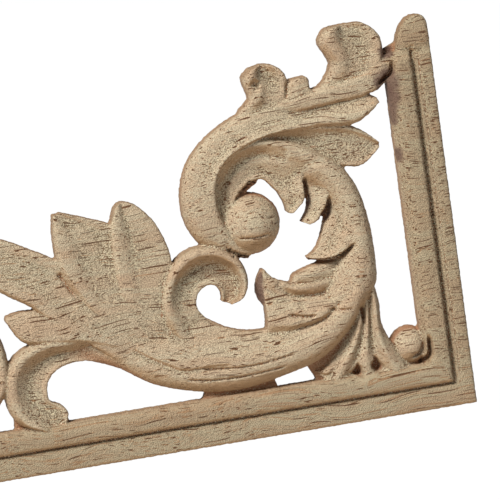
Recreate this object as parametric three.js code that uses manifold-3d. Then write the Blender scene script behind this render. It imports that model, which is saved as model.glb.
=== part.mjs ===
// A carved wooden corner onlay: an L of two moulded rails whose inner corner is filled with pierced
// scrollwork, all cut from one board with a flat back. The long rail lies along X and the short one
// stands along Z. The carving faces -Y, and the flat back is the plane y = 0.
import * as THREE from "three";
import { mergeVertices } from "three/addons/utils/BufferGeometryUtils.js";
import Module from "manifold-3d";

// Driving dimensions, in millimetres.
const longLeg = 300; // outer length of the lying rail
const shortLeg = 121; // outer height of the standing rail
const railWidth = 14.5; // outer edge to inner edge of a rail
const bandHeight = 5.8; // face of the plain outer band above the back
const grooveHeight = 3.8; // bottom of the groove beside the band
const beadHeight = 7.2; // top of the bead inside the groove
const railInnerHeight = 5; // where the bead has run out at the inner edge
const endCapLength = 8.4; // plain rounded end of each rail
const reliefHeight = 9; // highest carving above the back
const webHeight = 2.8; // recessed bridges between the carving and the rails
const smallScrollScale = 0.5; // the second scroll against the first
const tailLobes = 5; // lobes of the leaf that runs out along the long rail
const tailLobeRatio = 0.8; // each of them against the one before

// Places of the running parts on the drawn field.
const mainScrollLeft = 25.5; // the main scroll's outer side
const secondScrollLeft = 141; // the second scroll's outer side
const tailRun = [200, 288]; // from the second scroll's foot to the leaf's tip
const firstTailLobe = 1.15; // the tail's first lobe against the lobe as drawn
const tailLobeStep = 19; // from one lobe's root to the next, for a lobe as drawn

// The carving was drawn inside rails of these sizes, and is stretched to the field that the real
// rails leave. Its points are [left, up] from the outer corner of the board.
const drawn = { longLeg: 300, shortLeg: 121, railWidth: 14.5, reliefHeight: 9 };
const fieldScaleLeft = (longLeg - railWidth) / (drawn.longLeg - drawn.railWidth);
const fieldScaleUp = (shortLeg - railWidth) / (drawn.shortLeg - drawn.railWidth);
const reliefScale = reliefHeight / drawn.reliefHeight;

// The back is cut flat at the end, so every element starts this far behind it.
const backAllowance = 1;

const wasm = await Module();
wasm.setup();

function signedVolume(position, index) {
  const corners = [new THREE.Vector3(), new THREE.Vector3(), new THREE.Vector3()];
  let volume = 0;
  for (let first = 0; first < index.length; first += 3) {
    corners.forEach((corner, offset) => corner.fromBufferAttribute(position, index[first + offset]));
    volume += corners[0].dot(corners[1].cross(corners[2])) / 6;
  }
  return volume;
}

function solidOf(geometry) {
  const bare = geometry.clone();
  bare.deleteAttribute("normal");
  bare.deleteAttribute("uv");
  const merged = mergeVertices(bare, 1e-4);
  const index = new Uint32Array(merged.index.array);
  if (signedVolume(merged.attributes.position, index) < 0) {
    index.reverse();
  }
  const vertProperties = new Float32Array(merged.attributes.position.array);
  return new wasm.Manifold(new wasm.Mesh({ numProp: 3, vertProperties, triVerts: index }));
}

// The board's frame: X to the right and Z up from where the rails' centrelines cross.
function toBoard(left, up, height) {
  return new THREE.Vector3(railWidth / 2 - left, -height, up - railWidth / 2);
}

function toField([left, up]) {
  return [
    railWidth + (left - drawn.railWidth) * fieldScaleLeft,
    railWidth + (up - drawn.railWidth) * fieldScaleUp,
  ];
}

function smoothEdge(points) {
  const curve = new THREE.SplineCurve(points.map(([left, up]) => new THREE.Vector2(left, up)));
  return (share) => curve.getPoint(share);
}

function straightEdge(points) {
  return (share) => {
    const place = share * (points.length - 1);
    const index = Math.min(Math.floor(place), points.length - 2);
    const start = new THREE.Vector2(...points[index]);
    return start.lerp(new THREE.Vector2(...points[index + 1]), place - index);
  };
}

function valueAlong(values, share) {
  const place = share * (values.length - 1);
  const index = Math.min(Math.floor(place), values.length - 2);
  return THREE.MathUtils.lerp(values[index], values[index + 1], place - index);
}

// A carved strip lies between two edges. Its section gives the height of the surface at shares of
// the way from the near edge to the far one, and rise multiplies that along the strip.
function stripSolid({ near, far, section, rise = [1, 1], rows = 10 }) {
  const columns = section.length - 1;
  const geometry = new THREE.BoxGeometry(1, 1, 1, columns, rows, 1);
  const position = geometry.attributes.position;
  for (let vertex = 0; vertex < position.count; vertex += 1) {
    const column = Math.round((position.getX(vertex) + 0.5) * columns);
    const along = position.getY(vertex) + 0.5;
    const [across, sectionHeight] = section[column];
    const place = near(along).lerp(far(along), across);
    const onTop = position.getZ(vertex) > 0;
    const height = onTop ? sectionHeight * valueAlong(rise, along) : -backAllowance;
    const point = toBoard(place.x, place.y, height);
    position.setXYZ(vertex, point.x, point.y, point.z);
  }
  return solidOf(geometry);
}

function carvedStrip(spec) {
  return stripSolid({
    ...spec,
    near: smoothEdge(spec.near.map(toField)),
    far: smoothEdge(spec.far.map(toField)),
    section: spec.section.map(([across, height]) => [across, height * reliefScale]),
  });
}

// A ball or knob is the upper part of an ellipsoid that stands on the board.
function ballSolid({ centre, radius, height }, segments = 20) {
  const geometry = new THREE.SphereGeometry(1, segments, segments / 2);
  const position = geometry.attributes.position;
  const [left, up] = toField(centre);
  for (let vertex = 0; vertex < position.count; vertex += 1) {
    const point = toBoard(
      left + position.getX(vertex) * radius * fieldScaleLeft,
      up + position.getZ(vertex) * radius * fieldScaleUp,
      position.getY(vertex) * height * reliefScale,
    );
    position.setXYZ(vertex, point.x, point.y, point.z);
  }
  return solidOf(geometry);
}

// The two rails are one mitred L, with a plain band, a groove and a bead.
function railStrips() {
  const railSection = [
    [0, bandHeight - 0.4],
    [0.04, bandHeight],
    [0.35, bandHeight],
    [0.5, grooveHeight],
    [0.56, beadHeight - 0.6],
    [0.64, beadHeight],
    [0.76, beadHeight - 0.3],
    [1, railInnerHeight],
  ];
  const runOut = endCapLength + 2.4;
  const near = [
    [longLeg - endCapLength, 0], [longLeg - runOut, 0], [0, 0], [0, shortLeg - runOut],
    [0, shortLeg - endCapLength],
  ];
  const far = [
    [longLeg - runOut, railWidth], [longLeg - runOut - 2, railWidth], [railWidth, railWidth],
    [railWidth, shortLeg - runOut - 2], [railWidth, shortLeg - runOut],
  ];
  return [stripSolid({
    near: straightEdge(near),
    far: straightEdge(far),
    section: railSection,
    rise: [0.75, 1, 1, 1, 0.75],
    rows: near.length - 1,
  })];
}

// Each rail ends in a plain tongue, rounded towards its outer edge.
function endCapStrips() {
  const outerEdge = [[-10.6, 0], [-6.6, 0], [-3, 0.1], [-0.8, 0.9], [0, 2.6]];
  const innerEdge = [[-10.6, 10.8], [-7.6, 10.2], [-4.5, 9.2], [-1.4, 7], [-0.1, 4.6]];
  const section = [[0, bandHeight - 0.6], [0.12, bandHeight], [0.85, bandHeight],
    [1, bandHeight - 0.8]];
  const standing = (points) => points.map(([end, across]) => [across, shortLeg + end]);
  const lying = (points) => points.map(([end, across]) => [longLeg + end, across]);
  return [standing, lying].map((turn) => stripSolid({
    near: smoothEdge(turn(outerEdge)),
    far: smoothEdge(turn(innerEdge)),
    section,
    rise: [0.9, 1, 1, 0.95, 0.85],
    rows: 8,
  }));
}

// The main stem swells along the long rail, climbs beside the short one and curls over into the
// ball. Its curl is a hollow band with a raised outer rim.
function stemStrips() {
  return [
    {
      near: [[118, 32.4], [108, 28.2], [98, 21.6], [85, 17.3], [72, 15.9], [58, 18], [46, 21.4],
        [36.5, 28.6], [29, 39]],
      far: [[120, 42], [108, 44], [98, 43], [86, 40], [76, 36.3], [66, 33.1], [53, 34], [43, 38.4],
        [36, 46]],
      section: [[0, 5], [0.16, 7.4], [0.42, 8.6], [0.72, 7.4], [1, 5.6]],
      rise: [0.72, 0.8, 0.9, 1, 1],
      rows: 18,
    },
    {
      near: [[30.6, 35], [26.1, 42], [25.4, 51], [25.8, 60], [27.6, 70], [32, 79], [38, 84.2],
        [46, 88.6]],
      far: [[44, 38], [40, 44], [37, 51], [35.6, 59], [36.6, 67], [41, 74], [47, 78], [53, 81]],
      section: [[0, 5], [0.14, 7.2], [0.42, 8.6], [0.75, 7.4], [1, 5.4]],
      rise: [0.9, 1, 1, 1, 0.95, 0.6],
      rows: 14,
    },
    {
      near: [[34, 81], [42, 86.4], [50, 89.8], [58, 91], [65.5, 88.8], [71, 83], [73, 75.5],
        [71.5, 68]],
      far: [[42, 71], [48.5, 70], [52.8, 74.3], [56.5, 78.4], [61, 77.8], [64.8, 74.8],
        [67.2, 71], [68.6, 66.5]],
      section: [[0, 6], [0.1, 8.2], [0.24, 7.6], [0.5, 5.4], [0.8, 5.2], [1, 5.6]],
      rise: [0.9, 1, 1, 0.98, 0.95],
      rows: 16,
    },
  ];
}

// The outermost leaf wraps the curl from under the ball and runs out towards the short rail in two
// tips. The one above touches the rail.
function wrapLeafStrips() {
  return [
    {
      near: [[64, 55], [72, 57.5], [78.2, 61.8], [81.8, 69.2], [82, 78], [78.5, 87], [71, 94.2],
        [60, 99.6], [48, 102], [36, 103.4]],
      far: [[61, 60], [65.6, 63], [69.8, 68], [71, 75], [69.8, 82], [65.2, 87.2], [57.6, 90.4],
        [50, 91.6], [40, 91.4], [30, 90.6]],
      section: [[0, 4.6], [0.18, 6.6], [0.5, 7.2], [0.78, 8], [0.87, 8.6], [0.9, 5.6], [1, 4.6]],
      rise: [0.6, 0.75, 0.92, 1, 1, 1, 0.9, 0.68],
      rows: 18,
    },
    {
      near: [[48, 97], [38, 98.2], [29, 99.4], [22, 99.4], [18.4, 97.8]],
      far: [[48, 92.8], [38, 92], [27.4, 91], [22, 93], [17.9, 96.3]],
      section: [[0, 5.4], [0.3, 5.8], [0.75, 7.4], [1, 5.8]],
      rise: [0.9, 1, 1, 0.85],
      rows: 9,
    },
    {
      near: [[54, 100], [44, 102.2], [34, 104], [24, 106.4], [16.5, 109.6], [11.6, 111]],
      far: [[52, 97], [42, 97.4], [31, 98.2], [21, 99], [15.6, 101.6], [12, 107]],
      section: [[0, 5.6], [0.3, 6.8], [0.7, 6.6], [1, 5]],
      rise: [0.8, 1, 1, 0.95, 0.9, 0.7],
      rows: 10,
    },
  ];
}

// Curling lobes stand on the wrap leaf's upper edge.
function crestStrips() {
  return [
    {
      near: [[40, 101], [34.4, 104.8], [31.4, 109.6], [32.6, 113.4], [34, 117], [31.6, 120.6],
        [27.6, 121.3]],
      far: [[18, 100], [17.4, 104], [15.4, 108.8], [14.7, 113.2], [15.7, 117.4], [19.6, 120.9],
        [24.8, 121.4]],
      section: [[0, 5.6], [0.14, 7.6], [0.34, 6.4], [0.62, 5.6], [0.9, 6.6], [1, 5.4]],
      rise: [0.75, 0.95, 1, 1, 0.9],
      rows: 12,
    },
    {
      near: [[47, 99], [45.6, 103], [45, 105.8], [44, 107.3]],
      far: [[36, 99], [38.2, 102.6], [38.3, 106.2], [39.6, 107.6]],
      section: [[0, 5], [0.5, 6.2], [1, 5]],
      rows: 5,
    },
    {
      near: [[63, 96], [60.6, 100.2], [57.6, 103], [58.2, 106.4], [58.6, 110], [56, 112.3],
        [53, 113]],
      far: [[45, 97], [45.4, 101], [45, 105], [45.4, 109], [47.6, 111.7], [50, 112.8],
        [52, 113.1]],
      section: [[0, 5.6], [0.16, 7.4], [0.4, 5.6], [0.65, 5.4], [0.88, 6.6], [1, 5.4]],
      rise: [0.75, 0.95, 1, 1, 0.9],
      rows: 12,
    },
  ];
}

// Leaves that spring from the stem: one behind the curl that points to the short rail, and three
// small ones that hang into the opening beside the ball.
function stemLeafStrips() {
  return [
    {
      near: [[62, 92], [50, 93.4], [40, 92.6], [30.5, 91.4], [24.6, 88.8], [19.4, 84.2]],
      far: [[56, 87], [48, 86], [40, 82], [32, 78.8], [25.4, 78.2], [19.4, 82.6]],
      section: [[0, 7], [0.12, 7.4], [0.4, 5.4], [0.8, 5], [1, 5.6]],
      rise: [1, 1, 1, 0.95, 0.8],
      rows: 12,
    },
    {
      near: [[54, 80], [52.6, 74.4], [50.9, 70], [50.4, 67.2]],
      far: [[44, 82], [43.7, 75.5], [44.2, 71], [48.8, 66.7]],
      section: [[0, 5], [0.5, 5.8], [0.85, 7], [1, 5.4]],
      rise: [0.8, 1, 0.8],
      rows: 7,
    },
    {
      near: [[46, 80], [43.8, 73], [44, 67.4], [46.5, 63.6]],
      far: [[34, 78], [36.6, 71], [38, 65.4], [43.8, 62.6]],
      section: [[0, 4.4], [0.4, 5.6], [0.85, 7], [1, 5.4]],
      rise: [0.8, 1, 0.8],
      rows: 7,
    },
    {
      near: [[34, 70], [38.6, 64.6], [41, 58.4], [43.4, 54.4], [46.3, 52.8]],
      far: [[28, 62], [31.6, 55.4], [35.4, 51.6], [40.4, 50.8], [45.6, 51.6]],
      section: [[0, 4.8], [0.4, 5.8], [0.82, 7.6], [1, 6]],
      rise: [1, 1, 1, 0.8],
      rows: 9,
    },
  ];
}

// A small acanthus fills the bend of the stem, its lobes combed out from the stem to one raised tip.
function bendAcanthusStrips() {
  return [
    {
      near: [[30, 52], [38, 51.4], [45.6, 49.9], [50.8, 48.2], [52.1, 46]],
      far: [[32, 42], [39, 43], [46, 43.6], [50, 44.4], [52.3, 45]],
      section: [[0, 4.8], [0.4, 6.2], [0.8, 5.4], [1, 4.8]],
      rise: [1, 1, 0.85],
      rows: 8,
    },
    {
      near: [[33, 46], [42, 44.6], [50, 45.2], [54.2, 46.3], [57.5, 48.1], [59.6, 51.3]],
      far: [[34, 38], [43, 38.6], [52, 39.4], [59, 40.6], [61, 45.6], [60.2, 51.3]],
      section: [[0, 5], [0.3, 6.4], [0.75, 6.2], [1, 5]],
      rise: [1, 1, 1, 0.9, 0.8],
      rows: 10,
    },
    {
      near: [[54, 34.6], [55, 38.6], [57.6, 43], [59.6, 47], [59.8, 51]],
      far: [[61.3, 34.8], [60, 38.6], [62.5, 43], [62.2, 47.4], [60.5, 51]],
      section: [[0, 5], [0.5, 4.4], [1, 3]],
      rows: 8,
    },
    {
      near: [[34, 41], [42, 40.4], [50, 40.8], [56, 41.4], [60.1, 40.4]],
      far: [[36, 36.4], [43, 35.4], [51, 35.6], [57, 36.4], [60.8, 37]],
      section: [[0, 4.8], [0.35, 6.6], [0.75, 6.4], [1, 5.2]],
      rise: [1, 1, 0.85],
      rows: 8,
    },
    {
      near: [[36, 40], [43, 37], [50, 36], [56, 36.4], [60.8, 37]],
      far: [[36.5, 36], [43, 33], [50, 31.6], [55.6, 33], [61.2, 34.8]],
      section: [[0, 5.4], [0.35, 7.2], [0.8, 8.2], [1, 7.4]],
      rise: [1, 1, 0.85, 0.75],
      rows: 8,
    },
  ];
}

// The second volute rolls back over the stem with a hollow band and a raised rim.
function voluteStrips() {
  return [{
    near: [[84, 26], [90.4, 36], [92.4, 46], [89.4, 55], [82.4, 60.6], [74, 60.6], [67.4, 56],
      [65.3, 49.4], [67, 44.2], [71, 42.4]],
    far: [[74, 35.6], [79.6, 39.4], [81.8, 43.4], [80.8, 47.2], [78, 49], [76, 48.9],
      [74.6, 47.8], [73.8, 46.2], [73.8, 44.6], [74, 43.4]],
    section: [[0, 6], [0.1, 7.8], [0.24, 7.4], [0.5, 4.8], [0.85, 4.8], [1, 5.2]],
    rise: [0.9, 1, 1, 1, 1, 0.95, 0.9],
    rows: 18,
  }];
}

// The large acanthus stands on the stem's root: four lobes fanned out to the left.
function acanthusStrips() {
  return [
    {
      near: [[84, 30], [90, 44], [87.7, 56], [88.2, 63], [91.2, 71], [95.6, 76.4], [99.6, 78.4]],
      far: [[96, 30], [100.4, 44], [102.8, 56], [103.6, 65], [103.6, 72], [102.8, 76.4],
        [101.4, 78.2]],
      section: [[0, 5], [0.3, 5.8], [0.7, 6], [0.9, 7.8], [1, 6.4]],
      rise: [0.75, 1, 1, 1, 0.85],
      rows: 12,
    },
    {
      near: [[90, 28], [97, 40], [100.6, 54], [101.6, 64], [103.4, 71.2], [111, 75], [119, 78]],
      far: [[106, 34], [112, 44], [118, 54], [121.5, 61], [122.4, 67], [122.2, 73], [121.6, 77.6]],
      section: [[0, 5.8], [0.3, 5], [0.6, 5.8], [0.88, 7.4], [1, 5.6]],
      rise: [0.75, 1, 1, 1, 0.85],
      rows: 12,
    },
    {
      near: [[96, 30], [105, 41], [113, 50], [121, 62.6], [130, 68.6], [139, 73.2],
        [149.6, 75.6]],
      far: [[108, 31], [118, 39], [127, 46.5], [133, 52], [139, 56], [145.6, 62],
        [151, 74]],
      section: [[0, 5.4], [0.25, 5.2], [0.6, 6], [0.88, 7.2], [1, 5.4]],
      rise: [0.75, 1, 1, 0.95, 0.8],
      rows: 12,
    },
    {
      near: [[108, 40], [118, 46], [126, 48.9], [134, 50.2], [139.7, 49.5]],
      far: [[106, 34], [118, 38], [128, 39], [135.8, 41], [140.2, 48.2]],
      section: [[0, 5.2], [0.5, 6.4], [0.85, 6.4], [1, 5.2]],
      rise: [0.8, 1, 1, 0.8],
      rows: 8,
    },
  ];
}

// The foot hook carries the root of the acanthus down to the long rail.
function footStrips() {
  return [{
    near: [[104, 38], [113, 40.4], [122, 40], [131, 40.2], [138, 37.8], [142.4, 32.6],
      [143.6, 26], [142.6, 19.6], [139.4, 15.6], [134, 13.6]],
    far: [[106, 27.6], [113, 31], [120, 32.4], [126, 31.4], [129.6, 28.4], [130.6, 25],
      [130, 21.8], [127, 20.2], [125.2, 17.6], [126.4, 13.6]],
    section: [[0, 5], [0.14, 7], [0.3, 6.6], [0.6, 4.8], [0.85, 5], [1, 5]],
    rise: [1, 1, 1, 1, 1, 1.05],
    rows: 18,
  }];
}

// A spray of leaves fills the corner of the rails: a stalk that ends in the curl, a middle leaf and
// two leaves that lie back along the long rail.
function cornerSprayStrips() {
  return [
    {
      near: [[26.4, 45], [25.8, 35], [26, 28.4], [24.4, 23.8], [22.6, 19], [22, 14]],
      far: [[32, 43], [31.2, 34], [31.2, 28], [30.2, 22], [28.8, 18.6], [27, 14]],
      section: [[0, 3.6], [0.3, 5], [0.72, 6.8], [1, 5.4]],
      rise: [1, 1, 0.95, 0.85],
      rows: 9,
    },
    {
      near: [[29.6, 33], [30.2, 25], [30.4, 20], [30.8, 16.4]],
      far: [[32, 33], [33.8, 24.6], [34.2, 19.5], [33, 16.6]],
      section: [[0, 4.6], [0.5, 5.8], [1, 4.4]],
      rise: [1, 1, 0.75],
      rows: 7,
    },
    {
      near: [[31.4, 32], [33.6, 24], [34.9, 18.6], [38, 14.6]],
      far: [[35, 28.6], [39.6, 22.4], [42.8, 18.4], [44.4, 14]],
      section: [[0, 4.4], [0.5, 6], [1, 4.2]],
      rise: [1, 1, 0.8],
      rows: 7,
    },
    {
      near: [[33, 30], [38, 22.4], [43, 18.2], [47.6, 16.2]],
      far: [[34.6, 30.6], [38.6, 25], [43, 20.6], [48.4, 17.4]],
      section: [[0, 4.6], [0.5, 5.8], [1, 4.4]],
      rise: [1, 1, 0.8],
      rows: 7,
    },
  ];
}

function cornerCurl() {
  return { centre: [18.2, 20.6], radius: 6.1, height: 6.4 };
}

// The ball closes the main scroll.
function scrollBall() {
  return { centre: [62, 65.4], radius: 9.6, height: 9 };
}

// Recessed bridges tie the carving to the rails.
function webStrips() {
  const flat = [[0, webHeight], [1, webHeight]];
  return [
    { near: [[84.4, 12], [59.8, 12]], far: [[82, 19], [61.2, 19]], section: flat, rows: 1 },
    { near: [[46.8, 12], [20, 12]], far: [[50.8, 20.4], [30, 40]], section: flat, rows: 2 },
    { near: [[17, 110.4], [9, 114]], far: [[18, 104], [9, 106]], section: flat, rows: 1 },
    { near: [[142, 12], [124.8, 12]], far: [[141.6, 18], [125.6, 18]], section: flat, rows: 1 },
  ];
}

function runningScrollStrips() {
  return [...stemStrips(), ...voluteStrips(), ...acanthusStrips(), ...footStrips()];
}

// The second scroll repeats the main one on the long rail, smaller and with fewer leaves.
function toSecondScroll([left, up]) {
  return [
    secondScrollLeft + (left - mainScrollLeft) * smallScrollScale,
    drawn.railWidth + (up - drawn.railWidth) * smallScrollScale,
  ];
}

function secondScrollStrips() {
  const lowered = (smallScrollScale + 1) / 2;
  const [wrapLeaf] = wrapLeafStrips();
  const pointedLeaf = {
    ...wrapLeaf,
    near: [...wrapLeaf.near.slice(0, -2), [51, 99.4], [43, 95.4]],
    far: [...wrapLeaf.far.slice(0, -2), [52, 92.4], [44, 94.4]],
  };
  return [...runningScrollStrips(), pointedLeaf].map((strip) => ({
    near: strip.near.map(toSecondScroll),
    far: strip.far.map(toSecondScroll),
    section: strip.section.map(([across, height]) => [across, height * lowered]),
    rise: strip.rise,
    rows: Math.round(strip.rows * 0.6),
  }));
}

function secondScrollBall() {
  const ball = scrollBall();
  return {
    centre: toSecondScroll(ball.centre),
    radius: ball.radius * smallScrollScale,
    height: ball.height * (smallScrollScale + 1) / 2,
  };
}

// A plain leaf runs out along the long rail, each of its lobes smaller than the one before.
function tailStrips() {
  const [start, end] = tailRun;
  const lobes = [];
  let root = start + 3;
  let size = firstTailLobe;
  for (let lobe = 0; lobe < tailLobes; lobe += 1) {
    const toLobe = ([left, up]) => [root + left * size, drawn.railWidth + up * size];
    lobes.push({
      near: [[-1, 2], [3, 12.4], [12, 20], [23, 23.4]].map(toLobe),
      far: [[8, 1.4], [16, 6], [21.6, 13], [24, 21.8]].map(toLobe),
      section: [[0, 4.4], [0.35, 5], [0.8, 6.8], [1, 5.2]],
      rise: [0.8, 1, 0.8],
      rows: 7,
    });
    root += tailLobeStep * size;
    size *= tailLobeRatio;
  }
  const stem = {
    near: [start - 4, start + 6, start + 28, end - 26, end].map((left) => [left, 13.6]),
    far: [[start - 4, 22], [start + 6, 25], [start + 28, 22.6], [end - 26, 18.4], [end, 15]],
    section: [[0, 4.8], [0.45, 7], [1, 5]],
    rise: [0.95, 1, 1, 0.9, 0.7],
    rows: 8,
  };
  return [stem, ...lobes];
}

const strips = [
  ...runningScrollStrips(), ...wrapLeafStrips(), ...crestStrips(), ...stemLeafStrips(),
  ...bendAcanthusStrips(), ...cornerSprayStrips(), ...webStrips(), ...secondScrollStrips(),
  ...tailStrips(),
];

const solids = [
  ...railStrips(),
  ...endCapStrips(),
  ...strips.map(carvedStrip),
  ballSolid(scrollBall()),
  ballSolid(cornerCurl(), 14),
  ballSolid(secondScrollBall(), 14),
];

function behindTheBack() {
  const margin = 20;
  const geometry = new THREE.BoxGeometry(longLeg + margin, margin, shortLeg + margin);
  geometry.translate((railWidth - longLeg) / 2, margin / 2, (shortLeg - railWidth) / 2);
  return solidOf(geometry);
}

function meshOf(name, solid, material) {
  const { vertProperties, triVerts } = solid.getMesh();
  const geometry = new THREE.BufferGeometry();
  geometry.setAttribute("position", new THREE.BufferAttribute(vertProperties, 3));
  geometry.setIndex(new THREE.BufferAttribute(triVerts, 1));
  geometry.computeVertexNormals();
  const mesh = new THREE.Mesh(geometry, material);
  mesh.name = name;
  return mesh;
}

const board = solids.reduce((whole, solid) => whole.add(solid)).subtract(behindTheBack());
const paleWood = new THREE.MeshStandardMaterial({ color: 0xc8ad88, roughness: 0.75, metalness: 0 });

const cornerOnlay = new THREE.Group();
cornerOnlay.add(meshOf("corner_onlay", board, paleWood));

export default cornerOnlay;
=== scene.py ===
import bmesh
import bpy
import numpy as np
from mathutils import Matrix, Vector


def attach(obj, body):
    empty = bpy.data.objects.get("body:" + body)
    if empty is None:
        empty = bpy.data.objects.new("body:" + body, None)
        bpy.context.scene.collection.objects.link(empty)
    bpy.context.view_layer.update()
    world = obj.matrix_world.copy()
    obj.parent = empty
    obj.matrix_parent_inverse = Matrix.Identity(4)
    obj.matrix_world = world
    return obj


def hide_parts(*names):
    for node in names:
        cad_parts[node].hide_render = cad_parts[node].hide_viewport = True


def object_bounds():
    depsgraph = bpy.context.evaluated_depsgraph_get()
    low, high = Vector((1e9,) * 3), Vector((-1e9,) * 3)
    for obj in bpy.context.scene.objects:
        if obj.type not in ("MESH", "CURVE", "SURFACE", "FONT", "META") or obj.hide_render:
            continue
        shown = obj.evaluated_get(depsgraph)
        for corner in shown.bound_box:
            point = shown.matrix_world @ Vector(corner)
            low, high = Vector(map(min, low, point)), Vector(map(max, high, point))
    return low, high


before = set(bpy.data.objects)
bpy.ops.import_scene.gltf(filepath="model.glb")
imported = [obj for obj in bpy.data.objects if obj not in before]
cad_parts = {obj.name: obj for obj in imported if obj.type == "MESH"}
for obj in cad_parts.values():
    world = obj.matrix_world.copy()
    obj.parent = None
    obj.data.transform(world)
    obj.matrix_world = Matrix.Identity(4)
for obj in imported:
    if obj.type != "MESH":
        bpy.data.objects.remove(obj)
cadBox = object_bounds()

# Places on the board are [left, up] in millimetres from its outer corner, as in the part's source.
board = {"longLeg": 300, "shortLeg": 121, "railWidth": 14.5}

# How finely the carving is made, in millimetres where it is a size.
carving = {
    "gridStep": 0.65,  # faces of the strips before they are fused
    "fewestColumns": 4,
    "fewestRows": 3,
    "edgeSamples": 40,
    "leafColumns": 40,
    "leafRows": 50,
    "railColumns": 60,
    "ballSegments": 72,
    "turnFrom": 0.14,  # where along a strip its later section starts to show
    "turnLength": 0.35,
    "voxel": 0.34,
    "smoothing": 0.5,  # share of the way that each softening moves a point
    "flatBack": 0.3,  # what lies nearer than this to the back is laid flat on it
    "faces": 190000,
}


def onBoard(left, up, height):
    half = board["railWidth"] / 2
    return np.stack([half - left, -height, up - half], axis=-1) / 1000


# A smooth run through points, the same curve as the source's edges.
def smoothRun(points, shares):
    points = np.array(points, float)
    last = len(points) - 1
    place = np.clip(shares, 0, 1) * last
    index = np.minimum(place.astype(int), last - 1)
    part = (place - index)[:, None]
    start, end = points[index], points[index + 1]
    leave = (end - points[np.maximum(index - 1, 0)]) / 2
    arrive = (points[np.minimum(index + 2, last)] - start) / 2
    return (
        (2 * start - 2 * end + leave + arrive) * part**3
        + (3 * end - 3 * start - 2 * leave - arrive) * part**2
        + leave * part
        + start
    )


def straightRun(points, shares):
    points = np.array(points, float)
    knots = np.linspace(0, 1, len(points))
    return np.stack([np.interp(shares, knots, points[:, axis]) for axis in (0, 1)], axis=-1)


# Heights between a section's knots, rounded over without overshooting any of them.
def easedHeights(section, shares):
    knots, heights = np.array(section, float).T
    widths = np.diff(knots)
    slopes = np.diff(heights) / widths
    before, after = slopes[:-1], slopes[1:]
    sameWay = before * after > 0
    both = np.where(sameWay, before + after, 1)
    inner = np.where(sameWay, 2 * before * after / both, 0)
    tangents = np.concatenate([slopes[:1], inner, slopes[-1:]])
    index = np.clip(np.searchsorted(knots, shares, side="right") - 1, 0, len(widths) - 1)
    width = widths[index]
    part = (shares - knots[index]) / width
    return (
        heights[index] * (2 * part**3 - 3 * part**2 + 1)
        + heights[index + 1] * (3 * part**2 - 2 * part**3)
        + tangents[index] * width * (part**3 - 2 * part**2 + part)
        + tangents[index + 1] * width * (part**3 - part**2)
    )


# A grid of carving, placed and raised by two functions and closed down to the flat back.
def addField(shell, columns, rows, placeAt, heightAt):
    made = bmesh.ops.create_grid(shell, x_segments=columns, y_segments=rows, size=1)
    verts = made["verts"]
    across, along = (np.array([vert.co[:2] for vert in verts]).T + 1) / 2
    place = placeAt(across, along)
    for vert, point in zip(verts, onBoard(place[:, 0], place[:, 1], heightAt(across, along))):
        vert.co = point
    closeToBack(shell, verts)


# A strip of carving between two edges. Its section holds heights at shares of the way across. A
# later section takes over from it along the strip.
def addStrip(shell, near, far, section, rise=(1, 1), run=smoothRun, later=None):
    edges = [run(edge, np.linspace(0, 1, carving["edgeSamples"])) for edge in (near, far)]
    length = max(np.linalg.norm(np.diff(edge, axis=0), axis=1).sum() for edge in edges)
    width = np.linalg.norm(edges[0] - edges[1], axis=1).max()

    def placeAt(across, along):
        return run(near, along) * (1 - across)[:, None] + run(far, along) * across[:, None]

    def heightAt(across, along):
        heights = easedHeights(section, across)
        if later:
            turned = np.clip((along - carving["turnFrom"]) / carving["turnLength"], 0, 1)
            heights += (easedHeights(later, across) - heights) * turned
        return heights * np.interp(along, np.linspace(0, 1, len(rise)), rise)

    columns = max(carving["fewestColumns"], int(width / carving["gridStep"]))
    rows = max(carving["fewestRows"], int(length / carving["gridStep"]))
    addField(shell, columns, rows, placeAt, heightAt)


# A leaf drawn by several lines along it, each with its height.
def addLeaf(shell, lines, heights, rise):
    last = len(lines) - 1

    def placeAt(across, along):
        drawn = np.stack([smoothRun(line, along) for line in lines])
        index = np.minimum((across * last).astype(int), last - 1)
        part = (across * last - index)[:, None]
        picked = np.arange(len(across))
        return drawn[index, picked] * (1 - part) + drawn[index + 1, picked] * part

    def heightAt(across, along):
        section = [[line / last, height] for line, height in enumerate(heights)]
        return easedHeights(section, across) * np.interp(along, np.linspace(0, 1, len(rise)), rise)

    addField(shell, carving["leafColumns"], carving["leafRows"], placeAt, heightAt)


# Closes a carved face with walls down to a flat back.
def closeToBack(shell, verts):
    faces = list({face for vert in verts for face in vert.link_faces})
    drop = bmesh.ops.extrude_face_region(shell, geom=faces)
    low = [item for item in drop["geom"] if isinstance(item, bmesh.types.BMVert)]
    for vert in low:
        vert.co.y = 0


# A ball or knob is the upper part of an ellipsoid that stands on the board.
def addBall(shell, centre, radius, height):
    around = carving["ballSegments"]
    made = bmesh.ops.create_uvsphere(shell, u_segments=around, v_segments=around // 2, radius=1)
    left, up = centre
    for vert in made["verts"]:
        x, y, z = vert.co
        vert.co = onBoard(left + x * radius, up + y * radius, max(z, 0) * height)


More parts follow.
